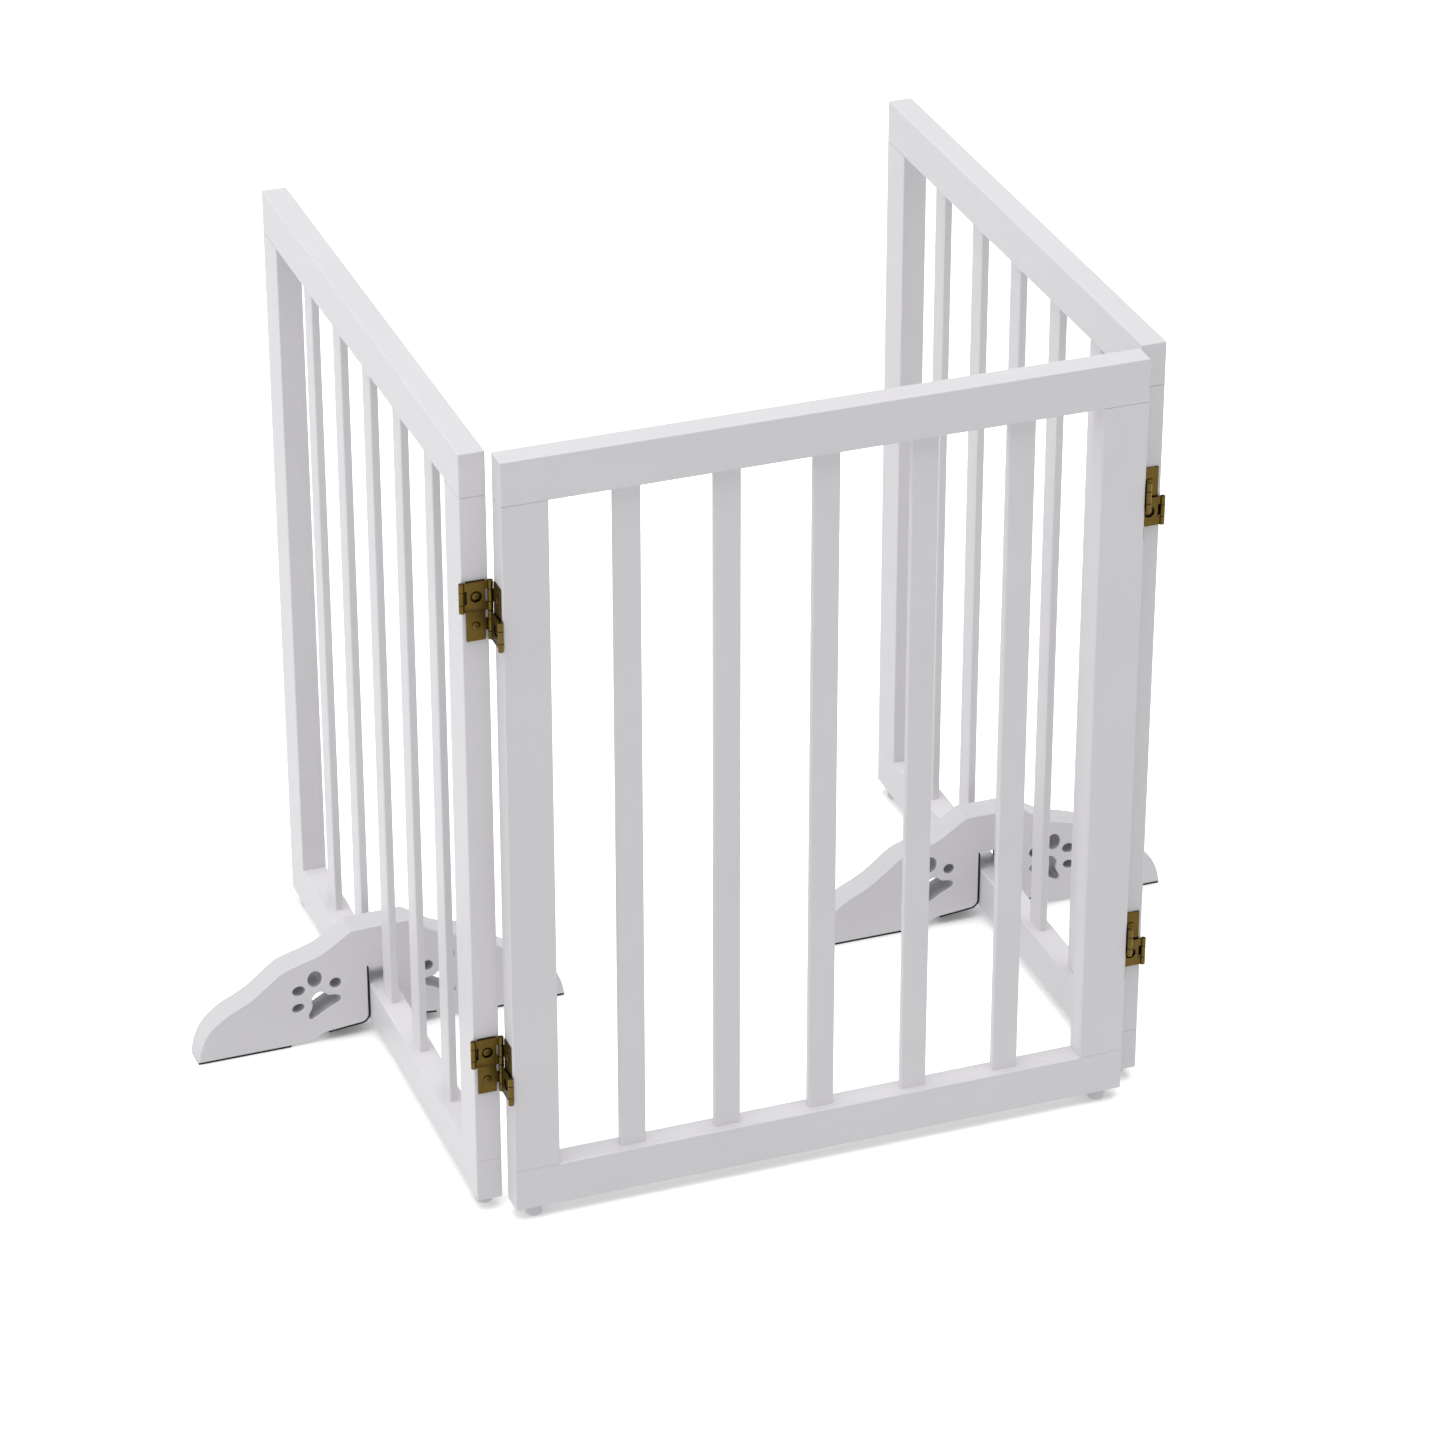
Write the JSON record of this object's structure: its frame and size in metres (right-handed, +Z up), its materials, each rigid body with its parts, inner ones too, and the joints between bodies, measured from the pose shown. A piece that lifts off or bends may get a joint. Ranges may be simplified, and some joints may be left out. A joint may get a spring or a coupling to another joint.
{
  "type": "folding pet gate",
  "caption": "Free-standing folding pet gate: slatted white wooden panels on double-action hinges, with slotted support feet over the side panels' bottom rails.",
  "frame": {"origin": "on the floor, under the middle of the whole gate's bounding box", "axes": "+X along the middle panel, from the left corner to the right corner seen from outside; +Y from the middle panel towards the free ends of the side panels; +Z up"},
  "size_m": [0.7928, 0.5006, 0.61],
  "materials": {
    "painted_wood": "white satin paint over a smooth board, grain barely showing",
    "white_plastic": "matt moulded glide",
    "antique_brass": "antique brass plating, slightly worn on the edges",
    "black_rubber": "thin matt anti-slip strip"
  },
  "bodies": {
    "middle_panel": {"middle_top_rail": "painted_wood", "middle_bottom_rail": "painted_wood", "middle_left_stile": "painted_wood", "middle_right_stile": "painted_wood", "middle_slat_1": "painted_wood", "middle_slat_2": "painted_wood", "middle_slat_3": "painted_wood", "middle_slat_4": "painted_wood", "middle_slat_5": "painted_wood", "middle_glide_1": "white_plastic", "middle_glide_2": "white_plastic", "left_upper_hinge_leaf_b": "antique_brass", "left_upper_hinge_link_b": "antique_brass", "left_lower_hinge_leaf_b": "antique_brass", "left_lower_hinge_link_b": "antique_brass", "right_upper_hinge_leaf_a": "antique_brass", "right_upper_hinge_link_a": "antique_brass", "right_lower_hinge_leaf_a": "antique_brass", "right_lower_hinge_link_a": "antique_brass"},
    "left_panel": {"left_top_rail": "painted_wood", "left_bottom_rail": "painted_wood", "left_end_stile": "painted_wood", "left_hinge_stile": "painted_wood", "left_slat_1": "painted_wood", "left_slat_2": "painted_wood", "left_slat_3": "painted_wood", "left_slat_4": "painted_wood", "left_slat_5": "painted_wood", "left_glide_1": "white_plastic", "left_glide_2": "white_plastic", "left_upper_hinge_leaf_a": "antique_brass", "left_upper_hinge_link_a": "antique_brass", "left_lower_hinge_leaf_a": "antique_brass", "left_lower_hinge_link_a": "antique_brass"},
    "right_panel": {"right_top_rail": "painted_wood", "right_bottom_rail": "painted_wood", "right_hinge_stile": "painted_wood", "right_end_stile": "painted_wood", "right_slat_1": "painted_wood", "right_slat_2": "painted_wood", "right_slat_3": "painted_wood", "right_slat_4": "painted_wood", "right_slat_5": "painted_wood", "right_glide_1": "white_plastic", "right_glide_2": "white_plastic", "right_upper_hinge_leaf_b": "antique_brass", "right_upper_hinge_link_b": "antique_brass", "right_lower_hinge_leaf_b": "antique_brass", "right_lower_hinge_link_b": "antique_brass"},
    "left_foot_assembly": {"left_foot": "painted_wood", "left_foot_front_pad": "black_rubber", "left_foot_front_liner": "black_rubber", "left_foot_back_pad": "black_rubber", "left_foot_back_liner": "black_rubber"},
    "right_foot_assembly": {"right_foot": "painted_wood", "right_foot_front_pad": "black_rubber", "right_foot_front_liner": "black_rubber", "right_foot_back_pad": "black_rubber", "right_foot_back_liner": "black_rubber"}
  },
  "joints": [
    {"name": "left_fold", "type": "hinge", "parent": "middle_panel", "child": "left_panel", "pos_m": [-0.24005, -0.22755, 0.3], "axis": [0, 0, -1], "range_deg": [-90, 20]},
    {"name": "right_fold", "type": "hinge", "parent": "middle_panel", "child": "right_panel", "pos_m": [0.24005, -0.22755, 0.3], "axis": [0, 0, 1], "range_deg": [-90, 20]},
    {"name": "left_foot_lift", "type": "slide", "parent": "left_panel", "child": "left_foot_assembly", "axis": [0, 0, 1], "range_m": [0, 0.05]},
    {"name": "right_foot_lift", "type": "slide", "parent": "right_panel", "child": "right_foot_assembly", "axis": [0, 0, 1], "range_m": [0, 0.05]}
  ]
}
